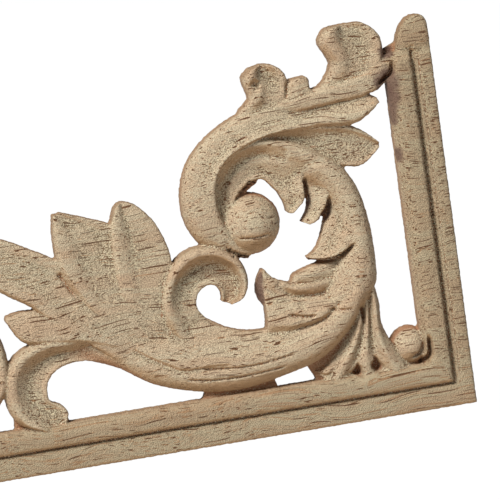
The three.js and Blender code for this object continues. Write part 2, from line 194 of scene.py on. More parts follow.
# The two rails are one mitred L, with a plain band, a groove and a bead. The groove lies nearer to
# the outer edge on the standing rail. Knots are [across standing, across lying, height].
rails = {
    "knots": [
        [0, 0, 4.9], [0.25, 0.25, 5.4], [0.8, 0.8, 5.75], [3, 3.6, 5.9], [4.5, 6.2, 5.85],
        [5, 6.9, 5.7], [5.45, 7.1, 5.3], [5.6, 7.25, 4.8], [5.8, 7.35, 4.75], [6.4, 7.65, 4.75],
        [6.6, 7.8, 5.2], [6.75, 7.9, 6.3], [7.1, 8.4, 6.75], [8.4, 9.8, 7.05], [10.4, 11.4, 7.15],
        [12.4, 13, 6.85], [13.8, 14, 5.9], [14.7, 14.6, 4.2],
    ],
    "capLength": 8.4,
    "endSlope": 2.4,
    "endFrom": 0.97,  # share of a rail's length at which its end starts to fall
    "endRise": 0.75,
}


def addRails(shell):
    standing, lying, heights = np.array(rails["knots"]).T
    shares = (standing + lying) / (standing[-1] + lying[-1])
    section = np.stack([shares, heights], axis=-1)

    def heightAt(across, along):
        fall = np.interp(along, [rails["endFrom"], 1], [1, rails["endRise"]])
        return easedHeights(section, across) * fall

    for leg, length in ((0, board["longLeg"]), (1, board["shortLeg"])):
        def placeAt(across, along, leg=leg, length=length):
            corner = np.stack([np.interp(across, shares, row) for row in (standing, lying)], axis=-1)
            reach = length - rails["capLength"] - rails["endSlope"] * across - corner[:, leg]
            corner[:, leg] += reach * along
            return corner

        rows = int(length / carving["gridStep"])
        addField(shell, carving["railColumns"], rows, placeAt, heightAt)


# Each rail ends in a plain tongue, rounded towards its outer edge. Its edges hold places past the
# rail's length and across the rail.
endCap = {
    "outerEdge": [[-10.6, 0], [-6.6, 0], [-3, 0.1], [-0.8, 0.9], [0, 2.6]],
    "innerEdge": [[-10.6, 10.8], [-7.6, 10.2], [-4.5, 9.2], [-1.4, 7], [-0.1, 4.6]],
    "section": [[0, 4.9], [0.06, 5.5], [0.16, 5.8], [0.82, 5.8], [0.94, 5.4], [1, 4.7]],
    "rise": [0.9, 1, 1, 0.97, 0.85],
}


def addEndCaps(shell):
    edges = endCap["outerEdge"], endCap["innerEdge"]
    long, short = board["longLeg"], board["shortLeg"]
    standing = [[[across, short + end] for end, across in edge] for edge in edges]
    lying = [[[long + end, across] for end, across in edge] for edge in edges]
    for near, far in (standing, lying):
        addStrip(shell, near, far, endCap["section"], endCap["rise"])


# The main stem swells along the long rail, climbs beside the short one and curls over.
stem = [
    {
        "near": [[118, 32.4], [108, 28.2], [98, 21.6], [85, 17.3], [72, 15.9], [58, 18], [46, 21.4],
                 [36.5, 28.6], [29, 39]],
        "far": [[120, 42], [108, 44], [98, 43], [86, 40], [76, 36.3], [66, 33.1], [53, 34],
                [43, 38.4], [36, 46]],
        "section": [[0, 4.6], [0.1, 6.9], [0.24, 8.2], [0.42, 8.6], [0.72, 7.2], [1, 5.4]],
        "rise": [0.35, 0.62, 0.84, 0.97, 1, 1],
    },
    {
        "near": [[30.6, 35], [26.1, 42], [25.4, 51], [25.8, 60], [27.6, 70], [32, 79], [38, 84.2],
                 [46, 88.6]],
        "far": [[44, 38], [40, 44], [37, 51], [35.6, 59], [36.6, 67], [41, 74], [47, 78], [53, 81]],
        "section": [[0, 4.6], [0.1, 6.7], [0.25, 8.1], [0.42, 8.6], [0.75, 7.3], [1, 5.2]],
        "rise": [0.9, 1, 1, 1, 0.95, 0.6],
    },
]

# The curl is a hollow band with a raised outer rim.
curl = {
    "near": [[34, 81], [42, 86.4], [50, 89.8], [58, 91.6], [66.6, 90], [73, 84.2], [75.4, 76],
             [74, 67]],
    "far": [[42, 71], [48.5, 70], [52.8, 74.3], [56.5, 78.4], [61, 77.8], [64.8, 74.8], [67.2, 71],
            [68.6, 66.5]],
    "section": [[0, 5.4], [0.05, 7.2], [0.1, 8.1], [0.18, 8], [0.36, 6.8], [0.6, 5.4], [0.84, 4.5],
                [0.94, 5], [1, 4.6]],
    "later": [[0, 6], [0.1, 6.9], [0.2, 7], [0.34, 6.2], [0.5, 5.4], [0.7, 4.6], [0.86, 4.4],
              [0.94, 4.8], [1, 4.4]],
    "rise": [0.9, 1, 1, 0.98, 0.95],
}

# The outermost leaf wraps the curl from under the ball and runs out in two tips.
wrapLeaf = {
    "near": [[64, 55], [72, 57.5], [78.2, 61.8], [81.8, 69.2], [82, 78], [78.5, 87], [71, 94.2],
             [60, 99.6], [48, 102], [36, 103.4]],
    "far": [[61, 60], [65.6, 63], [69.8, 68], [71, 75], [69.8, 82], [65.2, 87.2], [57.6, 90.4],
            [50, 91.6], [40, 91.4], [30, 90.6]],
    "section": [[0, 4.2], [0.05, 5.6], [0.16, 7], [0.38, 8.2], [0.6, 8.3], [0.78, 7.9], [0.9, 7],
                [0.96, 5.8], [1, 4.8]],
    "later": [[0, 4.2], [0.06, 5.4], [0.18, 6.5], [0.5, 7.1], [0.76, 7.9], [0.87, 8.5],
              [0.91, 8.2], [0.95, 6.2], [1, 5]],
    "rise": [0.6, 0.75, 0.92, 1, 1, 1, 0.9, 0.68],
}
wrapTips = [
    {
        "near": [[48, 97], [38, 98.2], [29, 99.4], [22, 99.4], [18.4, 97.8]],
        "far": [[48, 92.8], [38, 92], [27.4, 91], [22, 93], [17.9, 96.3]],
        "section": [[0, 5.2], [0.3, 5.7], [0.75, 7.4], [0.9, 7.1], [1, 5.4]],
        "rise": [0.9, 1, 1, 0.85],
    },
    {
        "near": [[54, 100], [44, 102.2], [34, 104], [24, 106.4], [16.5, 109.6], [11.6, 111]],
        "far": [[52, 97], [42, 97.4], [31, 98.2], [21, 99], [15.6, 101.6], [12, 107]],
        "section": [[0, 5.6], [0.3, 6.8], [0.7, 6.6], [0.92, 6.2], [1, 4.6]],
        "rise": [0.8, 1, 1, 0.95, 0.9, 0.7],
    },
]

# Curling lobes stand on the wrap leaf's upper edge.
crest = [
    {
        "near": [[40, 101], [34.4, 104.8], [31.4, 109.6], [32.6, 113.4], [34, 117], [31.6, 120.6],
                 [27.6, 121.3]],
        "far": [[18, 100], [17.4, 104], [15.4, 108.8], [14.7, 113.2], [15.7, 117.4], [19.6, 120.9],
                [24.8, 121.4]],
        "section": [[0, 5], [0.06, 6.3], [0.2, 6.8], [0.6, 6.6], [0.92, 6.3], [1, 5]],
        "later": [[0, 5], [0.06, 6.6], [0.14, 7.6], [0.24, 7.4], [0.4, 5.5], [0.62, 4.7],
                  [0.86, 5.8], [0.95, 6.2], [1, 5]],
        "rise": [0.75, 0.95, 1, 1, 0.9],
    },
    {
        "near": [[47, 99], [45.6, 103], [45, 105.8], [44, 107.3]],
        "far": [[36, 99], [38.2, 102.6], [38.3, 106.2], [39.6, 107.6]],
        "section": [[0, 4.6], [0.12, 5.8], [0.5, 6.3], [0.88, 5.9], [1, 4.8]],
    },
    {
        "near": [[63, 96], [60.6, 100.2], [57.6, 103], [58.2, 106.4], [58.6, 110], [56, 112.3],
                 [53, 113]],
        "far": [[45, 97], [45.4, 101], [45, 105], [45.4, 109], [47.6, 111.7], [50, 112.8],
                [52, 113.1]],
        "section": [[0, 5], [0.08, 6.2], [0.25, 6.9], [0.6, 6.4], [0.92, 5.9], [1, 5]],
        "later": [[0, 5], [0.08, 6.6], [0.2, 7.4], [0.32, 7], [0.46, 5.2], [0.65, 4.6],
                  [0.86, 5.6], [0.95, 6], [1, 5]],
        "rise": [0.75, 0.95, 1, 1, 0.9],
    },
]

# Leaves that spring from the stem, one to the short rail and three into the opening.
stemLeaves = [
    {
        "near": [[62, 92], [50, 93.4], [40, 92.6], [30.5, 91.4], [24.6, 88.8], [19.4, 84.2]],
        "far": [[56, 87], [48, 86], [40, 82], [32, 78.8], [25.4, 78.2], [19.4, 82.6]],
        "section": [[0, 6.6], [0.06, 7.2], [0.14, 7], [0.4, 4.9], [0.8, 4.7], [0.94, 5.3], [1, 4.9]],
        "later": [[0, 5], [0.03, 5.9], [0.07, 6], [0.2, 5.1], [0.5, 4.7], [0.86, 5], [0.95, 5.7],
                  [1, 4.8]],
        "rise": [1, 1, 1, 0.95, 0.8],
    },
    {
        "near": [[54, 80], [52.6, 74.4], [50.9, 70], [50.4, 67.2]],
        "far": [[44, 82], [43.7, 75.5], [44.2, 71], [48.8, 66.7]],
        "section": [[0, 4.8], [0.5, 5.8], [0.85, 7], [0.95, 6.6], [1, 5]],
        "rise": [0.8, 1, 0.8],
    },
    {
        "near": [[46, 80], [43.8, 73], [44, 67.4], [46.5, 63.6]],
        "far": [[34, 78], [36.6, 71], [38, 65.4], [43.8, 62.6]],
        "section": [[0, 3.8], [0.1, 4.6], [0.4, 5.6], [0.85, 7], [0.95, 6.6], [1, 5]],
        "rise": [0.8, 1, 0.8],
    },
    {
        "near": [[34, 70], [38.6, 64.6], [41, 58.4], [43.4, 54.4], [46.3, 52.8]],
        "far": [[28, 62], [31.6, 55.4], [35.4, 51.6], [40.4, 50.8], [45.6, 51.6]],
        "section": [[0, 4.6], [0.4, 5.8], [0.82, 7.7], [0.93, 7.5], [1, 5.6]],
        "rise": [1, 1, 1, 0.8],
    },
]

# A leaf fills the bend of the stem. It lies over the stem, is hollow along its middle and ends in
# one raised tip, with a small lobe above.
bendLobe = {
    "near": [[30, 52], [38, 51.4], [45.6, 49.9], [50.8, 48.2], [52.1, 46]],
    "far": [[32, 42], [39, 43], [46, 43.6], [50, 44.4], [52.3, 45]],
    "section": [[0, 4.2], [0.12, 5.4], [0.4, 6], [0.8, 5.2], [1, 4.6]],
    "rise": [0.6, 1, 0.85],
}
bendLeaf = {
    "lines": [
        [[36, 40.4], [38.6, 37.4], [41.4, 35], [45, 33], [50, 31.8], [55.4, 31.6], [61.6, 31.8]],
        [[36.4, 41], [39.2, 38.2], [42.2, 36], [45.8, 34.3], [50.4, 33.4], [55.6, 33.9], [61.2, 35]],
        [[35.6, 42.4], [40, 39.8], [44, 38.2], [48, 37.2], [52, 37], [56.6, 37.8], [61, 40.4]],
        [[34.6, 44], [40, 42.2], [45, 41.4], [50, 41.4], [54.4, 42], [58.4, 43.6], [61.2, 46.6]],
        [[33.6, 46], [39.4, 44.8], [45, 44.2], [50, 44.2], [54.2, 45], [58, 47], [60.6, 50.6]],
        [[33, 47.6], [39, 46.2], [45, 45.4], [50, 45.3], [54.1, 46.4], [57.5, 48.2], [60, 51.4]],
    ],
    "heights": [6.7, 8, 7, 5.4, 6.3, 5],
    "rise": [0.5, 0.8, 0.95, 1, 1, 0.95, 0.85],
}
bendTip = {
    "near": [[57, 35], [57.4, 38.6], [58.6, 43], [60, 47], [60, 51]],
    "far": [[61.4, 34.8], [60.6, 38.6], [62.9, 43], [62.6, 47.4], [60.6, 51.2]],
    "section": [[0, 5], [0.5, 4.4], [1, 3]],
}

# The volute rolls back over the stem with a hollow band and a raised rim.
volute = {
    "near": [[84, 26], [90.4, 36], [92.4, 46], [89.4, 55], [82.4, 60.6], [74, 60.6], [67.4, 56],
             [65.3, 49.4], [67, 44.2], [71, 42.4]],
    "far": [[74, 35.6], [79.6, 39.4], [81.8, 43.4], [80.8, 47.2], [78, 49], [76, 48.9],
            [74.6, 47.8], [73.8, 46.2], [73.8, 44.6], [74, 43.4]],
    "section": [[0, 5.6], [0.06, 6.6], [0.14, 7.2], [0.26, 7.1], [0.5, 5.8], [0.8, 5.2], [1, 4.8]],
    "later": [[0, 5.4], [0.05, 6.9], [0.12, 7.8], [0.2, 7.8], [0.28, 6.2], [0.36, 4.6], [0.55, 3.8],
              [0.8, 3.7], [0.93, 4.5], [1, 4.2]],
    "rise": [0.6, 1, 1, 1, 1, 0.95, 0.9],
}

# The large acanthus stands on the stem's root: four lobes fanned out to the left.
acanthus = [
    {
        "near": [[84, 30], [90, 44], [87.7, 56], [88.2, 63], [91.2, 71], [95.6, 76.4], [99.6, 78.4]],
        "far": [[98, 30], [102.4, 44], [104.6, 54], [105, 64], [104.4, 72], [103, 76.4],
                [101.4, 78.2]],
        "section": [[0, 5.4], [0.2, 6], [0.8, 6], [1, 5.6]],
        "later": [[0, 4.6], [0.05, 5.4], [0.28, 5.5], [0.62, 5.5], [0.84, 6.7], [0.93, 6.8],
                  [1, 6]],
        "rise": [0.75, 1, 1, 1, 0.85],
    },
    {
        "near": [[90, 28], [98.4, 40], [102, 52], [101.6, 64], [103.4, 71.2], [111, 75], [119, 78]],
        "far": [[106, 34], [112, 44], [118, 54], [121.5, 61], [122.4, 67], [122.2, 73], [121.6, 77.6]],
        "section": [[0, 5.4], [0.2, 6], [0.8, 6], [1, 5.6]],
        "later": [[0, 5.6], [0.08, 5.5], [0.3, 4.9], [0.6, 5.3], [0.84, 6.5], [0.93, 6.5],
                  [1, 5.2]],
        "rise": [0.75, 1, 1, 1, 0.85],
    },
    {
        "near": [[96, 30], [105, 41], [113, 50], [121, 62.6], [130, 68.6], [139, 73.2],
                 [149.6, 75.6]],
        "far": [[108, 31], [118, 39], [127, 46.5], [133, 52], [139, 56], [145.6, 62], [151, 74]],
        "section": [[0, 5.4], [0.2, 6], [0.8, 6], [1, 5.6]],
        "later": [[0, 4.8], [0.08, 5.2], [0.25, 4.8], [0.6, 5.3], [0.86, 6.5], [0.94, 6.4],
                  [1, 5]],
        "rise": [0.75, 1, 1, 0.95, 0.8],
    },
    {
        "near": [[108, 40], [118, 46], [126, 48.9], [134, 50.2], [139.7, 49.5]],
        "far": [[106, 34], [118, 38], [128, 39], [135.8, 41], [140.2, 48.2]],
        "section": [[0, 4.8], [0.12, 5.6], [0.5, 6.4], [0.88, 6.3], [1, 5]],
        "rise": [0.8, 1, 1, 0.8],
    },
]

# The foot hook carries the root of the acanthus down to the long rail.
foot = {
    "near": [[104, 38], [113, 40.4], [122, 40], [131, 40.2], [138, 37.8], [142.4, 32.6],
             [143.6, 26], [142.6, 19.6], [139.4, 15.6], [134, 13.6]],
    "far": [[106, 27.6], [113, 31], [120, 32.4], [126, 31.4], [129.6, 28.4], [130.6, 25],
            [130, 21.8], [127, 20.2], [125.2, 17.6], [126.4, 13.6]],
    "section": [[0, 4.4], [0.06, 6], [0.14, 7], [0.22, 6.9], [0.36, 5.7], [0.6, 4.2], [0.85, 4.4],
                [0.95, 5], [1, 4.6]],
    "rise": [0.4, 0.72, 1, 1, 1, 1, 1.05],
}

# A spray of leaves fills the corner of the rails. Its lines run down from the stem, from the shadow
# beside the stem over two leaves to the stalk that ends in a knob.
cornerSpray = {
    "lines": [
        [[33, 44], [34, 36], [35.6, 30], [39.4, 25], [43.8, 20.6], [48.4, 16.6]],
        [[32, 44], [32.8, 36], [34.6, 29.6], [37.8, 24], [42, 19.4], [46.4, 15.4]],
        [[31, 44], [31.8, 36], [33.4, 29], [36, 23.4], [39.6, 18.2], [42.4, 14]],
        [[30.2, 44], [30.9, 36], [32.2, 28.4], [34.6, 21.6], [36.6, 17], [38.2, 13.6]],
        [[29.4, 44], [30, 36], [31, 28], [32.2, 22], [32.6, 18], [32.2, 14.2]],
        [[28.6, 44], [29.1, 36], [29.8, 28], [29.8, 21.4], [29, 17], [28.4, 13.8]],
        [[27.9, 44], [27.8, 36], [28, 28.6], [27.2, 23], [25.4, 18.4], [23.4, 14]],
        [[27.2, 44], [26, 36], [26.1, 29.4], [24.8, 24.6], [22.6, 20.6], [19, 15]],
    ],
    "heights": [2.6, 4.6, 6.2, 4.8, 6.1, 4.6, 6.8, 4.2],
    "rise": [0.7, 0.95, 1, 1, 0.98, 0.9],
}
leafTip = {
    "near": [[42, 20.4], [45, 18.2], [47.8, 16.8]],
    "far": [[41, 17.4], [44.6, 15.6], [48.2, 17.8]],
    "section": [[0, 4.4], [0.5, 5.6], [1, 4]],
    "rise": [0.9, 1, 0.7],
}

scrollBall = {"centre": [62, 65.4], "radius": 9.6, "height": 9}
cornerKnob = {"centre": [18.2, 20.6], "radius": 6.1, "height": 6.4}

# A ragged rest of wood was left between the curl and the top of the ball.
ballRest = {
    "near": [[68, 70], [65.4, 75.4], [61.4, 78.6], [57.6, 79]],
    "far": [[65, 70], [63.4, 74], [60.6, 76], [58, 77.6]],
    "section": [[0, 4], [0.5, 3], [1, 2.4]],
}

# Recessed bridges tie the carving to the rails.
webs = {
    "height": 2.8,
    "edges": [
        [[[84.4, 12], [59.8, 12]], [[82, 19], [61.2, 19]]],
        [[[46.8, 12], [20, 12]], [[50.8, 20.4], [30, 40]]],
        [[[17, 110.4], [9, 114]], [[18, 104], [9, 106]]],
        [[[142, 12], [124.8, 12]], [[141.6, 18], [125.6, 18]]],
    ],
}

# The second scroll repeats the main one on the long rail, smaller, lower and with fewer leaves. Its
# wrap leaf ends in one point.
secondScroll = {
    "scale": 0.5,
    "left": 141,
    "mainLeft": 25.5,
    "lowered": 0.75,
    "nearPoint": [[51, 99.4], [43, 95.4]],
    "farPoint": [[52, 92.4], [44, 94.4]],
}


def toSecondScroll(point):
    scale, width = secondScroll["scale"], board["railWidth"]
    left = secondScroll["left"] + (point[0] - secondScroll["mainLeft"]) * scale
    return [left, width + (point[1] - width) * scale]


def secondScrollStrips():
    pointedLeaf = {
        **wrapLeaf,
        "near": wrapLeaf["near"][:-2] + secondScroll["nearPoint"],
        "far": wrapLeaf["far"][:-2] + secondScroll["farPoint"],
    }
    strips = []
    for strip in [*stem, curl, volute, *acanthus, foot, pointedLeaf]:
        smaller = dict(strip)
        for edge in ("near", "far"):
            smaller[edge] = [toSecondScroll(point) for point in strip[edge]]
        for part in ("section", "later"):
            if part in strip:
                smaller[part] = [[across, h * secondScroll["lowered"]] for across, h in strip[part]]
        strips.append(smaller)
    return strips


# A plain leaf runs out along the long rail, each of its lobes smaller than the one before.
tail = {
    "spine": {
        "near": [[196, 13.6], [206, 13.6], [228, 13.6], [262, 13.6], [288, 13.6]],
        "far": [[196, 22], [206, 25], [228, 22.6], [262, 18.4], [288, 15]],
        "section": [[0, 4.8], [0.45, 7], [1, 5]],
        "rise": [0.3, 0.9, 1, 0.9, 0.7],
    },
    "lobe": {
        "near": [[-1, 2], [3, 12.4], [12, 20], [23, 23.4]],
        "far": [[8, 1.4], [16, 6], [21.6, 13], [24, 21.8]],
        "section": [[0, 4.2], [0.1, 4.9], [0.35, 5], [0.8, 6.8], [0.92, 6.6], [1, 5]],
        "rise": [0.8, 1, 0.8],
    },
    "lobes": 5,
    "firstRoot": 203,
    "firstSize": 1.15,
    "step": 19,
    "ratio": 0.8,
}


def tailStrips():
    strips = [tail["spine"]]
    lobe, width = tail["lobe"], board["railWidth"]
    root, size = tail["firstRoot"], tail["firstSize"]
    for _ in range(tail["lobes"]):
        placed = dict(lobe)
        for edge in ("near", "far"):
            placed[edge] = [[root + left * size, width + up * size] for left, up in lobe[edge]]
        strips.append(placed)
        root += tail["step"] * size
        size *= tail["ratio"]
    return strips


def carvedShells():
    shell = bmesh.new()
    addRails(shell)
    addEndCaps(shell)
    strips = [
        *stem, curl, wrapLeaf, *wrapTips, *crest, *stemLeaves, bendLobe, bendTip, volute, *acanthus,
        foot, leafTip, ballRest,
        *secondScrollStrips(), *tailStrips(),
    ]
    for strip in strips:
        addStrip(shell, **strip)
    for leaf in (bendLeaf, cornerSpray):
        addLeaf(shell, **leaf)
    for near, far in webs["edges"]:
        addStrip(shell, near, far, [[0, webs["height"]], [1, webs["height"]]], run=straightRun)
    for ball in (scrollBall, cornerKnob):
        addBall(shell, **ball)
    scale = secondScroll["scale"]
    addBall(
        shell, toSecondScroll(scrollBall["centre"]), scrollBall["radius"] * scale,
        scrollBall["height"] * secondScroll["lowered"],
    )
    bmesh.ops.recalc_face_normals(shell, faces=shell.faces[:])
    mesh = bpy.data.meshes.new("carvedShells")
    shell.to_mesh(mesh)
    shell.free()
    return mesh


# Runs modifiers on a mesh and gives back the finished mesh.
def worked(mesh, *steps):
    piece = bpy.data.objects.new("inWork", mesh)
    bpy.context.scene.collection.objects.link(piece)
    for kind, settings in steps:
        step = piece.modifiers.new(kind, kind)
        for name, value in settings.items():
            setattr(step, name, value)
    ready = piece.evaluated_get(bpy.context.evaluated_depsgraph_get())
    made = bpy.data.meshes.new_from_object(ready)
    bpy.data.objects.remove(piece)
    return made


def pointsOf(mesh):
    points = np.empty(len(mesh.vertices) * 3, np.float32)
    mesh.vertices.foreach_get("co", points)
    return points.reshape(-1, 3)


def putPoints(mesh, points):
    mesh.vertices.foreach_set("co", np.ascontiguousarray(points, np.float32).ravel())
    mesh.update()


# Cuts by the gouge after fusing. Each has a run of places, half its width at its start and end,
# and its depth. A side of 1 or -1 cuts only to the left or right of the run, as under an overlap.
gougeCuts = [
    {"run": [[44.1, 76.6], [43.8, 73], [43.9, 70.2], [45.2, 67.9], [46.3, 65.6]],
     "widths": [0.5, 1], "depth": 6},
    {"run": [[37.3, 70], [37.8, 67.3], [38.7, 65.5], [40.4, 62.8]], "widths": [0.5, 1.3], "depth": 6},
    {"run": [[47, 52.6], [43.9, 52], [41.1, 51.8], [38.2, 52], [35.9, 52.6], [34, 53.7], [32, 55.1]],
     "widths": [1.7, 0.8], "depth": 4, "side": 1},
    {"run": [[36, 14.2], [35.4, 15.4], [35, 17.8]], "widths": [2.2, 0.4], "depth": 5},
    {"run": [[28.6, 14.6], [29.2, 16.6], [29.7, 19]], "widths": [1.5, 0.4], "depth": 5},
    {"run": [[30.7, 17.2], [30.6, 15.8]], "widths": [0.6, 0.6], "depth": 4},
    {"run": [[32, 35.5], [31.7, 33.4], [31.6, 30]], "widths": [0.8, 0.5], "depth": 2.4},
    {"run": [[70.6, 60.2], [69, 58], [66, 56.4], [63, 55.4]], "widths": [0.7, 0.5], "depth": 1,
     "rough": 1},
    {"run": [[64, 75], [61.4, 77.4], [58, 78.2]], "widths": [0.5, 0.4], "depth": 1.5, "rough": 1},
    {"run": [[66.5, 62.1], [62, 61.8], [57.6, 62.1]], "widths": [0.28, 0.28], "depth": 0.8},
    {"run": [[67.4, 68.6], [64.6, 68.5]], "widths": [0.28, 0.28], "depth": 0.8},
    {"run": [[63.4, 69.4], [60.6, 69.3]], "widths": [0.28, 0.28], "depth": 0.8},
    {"run": [[57.6, 67], [54.6, 66.8]], "widths": [0.28, 0.28], "depth": 0.8},
    {"run": [[88, 21.6], [80, 20.4], [70, 20.2], [58, 21.2]], "widths": [0.28, 0.28], "depth": 0.7},
    {"run": [[83, 24.4], [76, 23.4], [66, 23.2], [54, 24.8]], "widths": [0.28, 0.28], "depth": 0.7},
    {"run": [[18.2, 17.3], [16, 18], [14.6, 19.6], [14.2, 22]], "widths": [0.6, 0.5], "depth": 1.6},
    {"run": [[12.6, 23], [12.4, 19.6], [12.9, 16.9], [15, 14.8]], "widths": [0.5, 0.9], "depth": 4},
    {"run": [[122.4, 60], [121.5, 58.5], [119.5, 54.5], [117.6, 51.6]], "widths": [0.8, 0.45],
     "depth": 1.1},
    {"run": [[74, 24.6], [80.6, 25], [85.6, 24.9], [89.3, 25.2], [93, 27.2], [99, 30.9], [103, 34]],
     "widths": [2.6, 2], "depth": 0.5, "side": -1},
    {"run": [[12.5, 108.4], [13.2, 104.7], [15.1, 103.5], [17.4, 101.8]], "widths": [0.7, 0.6],
     "depth": 3.5},
    {"run": [[21.4, 99.4], [17.6, 98.6]], "widths": [0.4, 0.8], "depth": 1.8},
    {"run": [[4.3, 110], [4.2, 60], [4.2, 9]], "widths": [0.35, 0.35], "depth": 0.3},
    {"run": [[45.6, 107], [45.7, 104.6], [46.2, 102]], "widths": [0.6, 0.4], "depth": 1},
    {"run": [[38.1, 107], [38, 104.6], [37.2, 102]], "widths": [0.6, 0.4], "depth": 1},
    {"run": [[52.4, 31.6], [50.2, 31.8], [47.3, 32.2], [42.8, 33.4], [39.9, 35.8], [37.8, 38.2]],
     "widths": [1.6, 1.1], "depth": 0.75, "side": -1},
    {"run": [[52.4, 45.2], [51.6, 48], [49.8, 49], [45, 49.2]], "widths": [0.9, 0.6], "depth": 1.2},
    {"run": [[51, 40.5], [50, 38.6], [49, 36.6]], "widths": [1.1, 0.8], "depth": 0.4},
    {"run": [[42.7, 36.4], [39, 35.7], [35, 35.4]], "widths": [0.4, 0.4], "depth": 0.8},
    {"run": [[54.8, 36.3], [50.5, 35.3], [46, 34.8]], "widths": [0.6, 0.6], "depth": 1.1},
    {"run": [[56.9, 46.8], [54.6, 44.2], [51.4, 41.7], [46.1, 41], [41.2, 41.1]],
     "widths": [1.3, 0.8], "depth": 0.8},
    {"run": [[56.6, 106], [55, 107.5], [54, 109]], "widths": [1.8, 1.3], "depth": 2},
    {"run": [[48, 84.6], [54, 86.6], [60, 86.4], [65, 83.4], [68.6, 78.4], [69.2, 73]],
     "widths": [2.2, 1.8], "depth": 0.9},
    {"run": [[6.3, 112], [6.3, 98], [6.2, 60], [6, 8]], "widths": [0.8, 0.8], "depth": 0.4,
     "rough": 1},
    {"run": [[287, 7.5], [200, 7.5], [100, 7.5], [6.5, 7.5]], "widths": [0.3, 0.3], "depth": 0.6},
]
cuts = {
    "sampleStep": 0.3,
    "fewestSamples": 8,
    "reach": 2.5,  # how far out a cut is worked, in half widths
    "steepness": 3,
    "floor": 1.2,  # no cut goes below this height
    "wander": 0.05,
    "roughWander": 0.42,
    "wanderLength": 1,
    "fade": 2,  # how far from its ends a cut is shallower
    "endShare": 0.15,
    "sideBlend": 0.4,
    "crumbs": 0.8,
    "crumbSeed": 3,
    "wanderSeeds": (5, 6),
}
edgeWork = {"sway": 0.06, "swayLength": 1.8, "seeds": (7, 8)}
wave = {"count": 9, "shortest": 0.6, "longest": 1.6}


# Slow, seeded waves that keep a cut from looking ruled.
def waves(left, up, length, seed):
    draws = np.random.default_rng(seed)
    total = np.zeros_like(left)
    for _ in range(wave["count"]):
        turn, phase = draws.uniform(0, 2 * np.pi, 2)
        pace = 2 * np.pi / (length * draws.uniform(wave["shortest"], wave["longest"]))
        total += np.sin((left * np.cos(turn) + up * np.sin(turn)) * pace + phase)
    return total / wave["count"] ** 0.5


# Depth of a cut at places given by their offsets from every sample of its run.
def cutDepth(cut, run, offLeft, offUp, draws):
    last = len(run) - 1
    gaps = np.hypot(offLeft, offUp)
    nearest = gaps.argmin(axis=1)
    width = np.interp(nearest, [0, last], cut["widths"])
    shape = np.exp(-((gaps.min(axis=1) / width) ** cuts["steepness"]))
    if cut.get("side"):
        ahead = np.gradient(run, axis=0)[nearest]
        picked = np.arange(len(gaps))
        turn = ahead[:, 0] * offUp[picked, nearest] - ahead[:, 1] * offLeft[picked, nearest]
        beside = cut["side"] * turn / np.linalg.norm(ahead, axis=1)
        shape *= np.clip(beside / cuts["sideBlend"] + 0.5, 0, 1)
    if cut.get("rough"):
        shape *= 1 + cuts["crumbs"] * draws.uniform(-1, 1, len(gaps))
    toEnd = np.minimum(nearest, last - nearest) * cuts["sampleStep"]
    return cut["depth"] * shape * np.minimum(1, toEnd / cuts["fade"] + cuts["endShare"])


def cutGrooves(points):
    half = board["railWidth"] / 2
    left, up, height = half - points[:, 0] * 1000, points[:, 2] * 1000 + half, -points[:, 1] * 1000
    draws = np.random.default_rng(cuts["crumbSeed"])
    sideways, upward = [waves(left, up, cuts["wanderLength"], seed) for seed in cuts["wanderSeeds"]]
    for cut in gougeCuts:
        wander = cuts["roughWander"] if cut.get("rough") else cuts["wander"]
        span = np.linalg.norm(np.diff(np.array(cut["run"]), axis=0), axis=1).sum()
        count = max(cuts["fewestSamples"], int(span / cuts["sampleStep"]))
        run = smoothRun(cut["run"], np.linspace(0, 1, count))
        reach = max(cut["widths"]) * cuts["reach"]
        low, high = run.min(axis=0) - reach, run.max(axis=0) + reach
        inReach = (left > low[0]) & (left < high[0]) & (up > low[1]) & (up < high[1])
        close = np.flatnonzero(inReach & (height > cuts["floor"]))
        offLeft = (left + sideways * wander)[close, None] - run[:, 0]
        offUp = (up + upward * wander)[close, None] - run[:, 1]
        lowered = height[close] - cutDepth(cut, run, offLeft, offUp, draws)
        height[close] = np.maximum(lowered, np.minimum(height[close], cuts["floor"]))
    points[:, 1] = -height / 1000
    return points


# Outlines and walls are a little uneven, as a hand-worked edge is.
def roughened(points):
    left, up = points[:, 0] * 1000, points[:, 2] * 1000
    for axis, seed in zip((0, 2), edgeWork["seeds"]):
        swayed = waves(left, up, edgeWork["swayLength"], seed)
        points[:, axis] += edgeWork["sway"] / 1000 * swayed
    return points


def carvedPiece():
    voxel = carving["voxel"] / 1000 * 1
    softened = ("SMOOTH", {"factor": carving["smoothing"], "iterations": 1})
    fused = worked(
        carvedShells(), ("REMESH", {"mode": "VOXEL", "voxel_size": voxel, "adaptivity": 0}), softened,
    )
    print("fused carving:", len(fused.vertices), "points")
    putPoints(fused, roughened(cutGrooves(pointsOf(fused))))
    fused = worked(fused, softened)
    points = pointsOf(fused)
    points[:, 1] = np.where(points[:, 1] > -carving["flatBack"] / 1000, 0, points[:, 1])
    putPoints(fused, points)
    share = min(1, carving["faces"] / (2 * len(fused.polygons)))
    mesh = worked(fused, ("DECIMATE", {"ratio": share}))
    print("thinned carving:", len(mesh.polygons), "faces")
    markHollows(mesh)
    mesh.shade_smooth()
    piece = bpy.data.objects.new("carved_onlay", mesh)
    bpy.context.scene.collection.objects.link(piece)
    return piece


# Marks hold how far a much softened copy stands off the carving: above 0 in hollows, below 0 on
# ridges. Each has its turns of softening and the millimetres that count as all.
marks = {"creases": (5, 0.12), "hollows": (40, 0.6)}


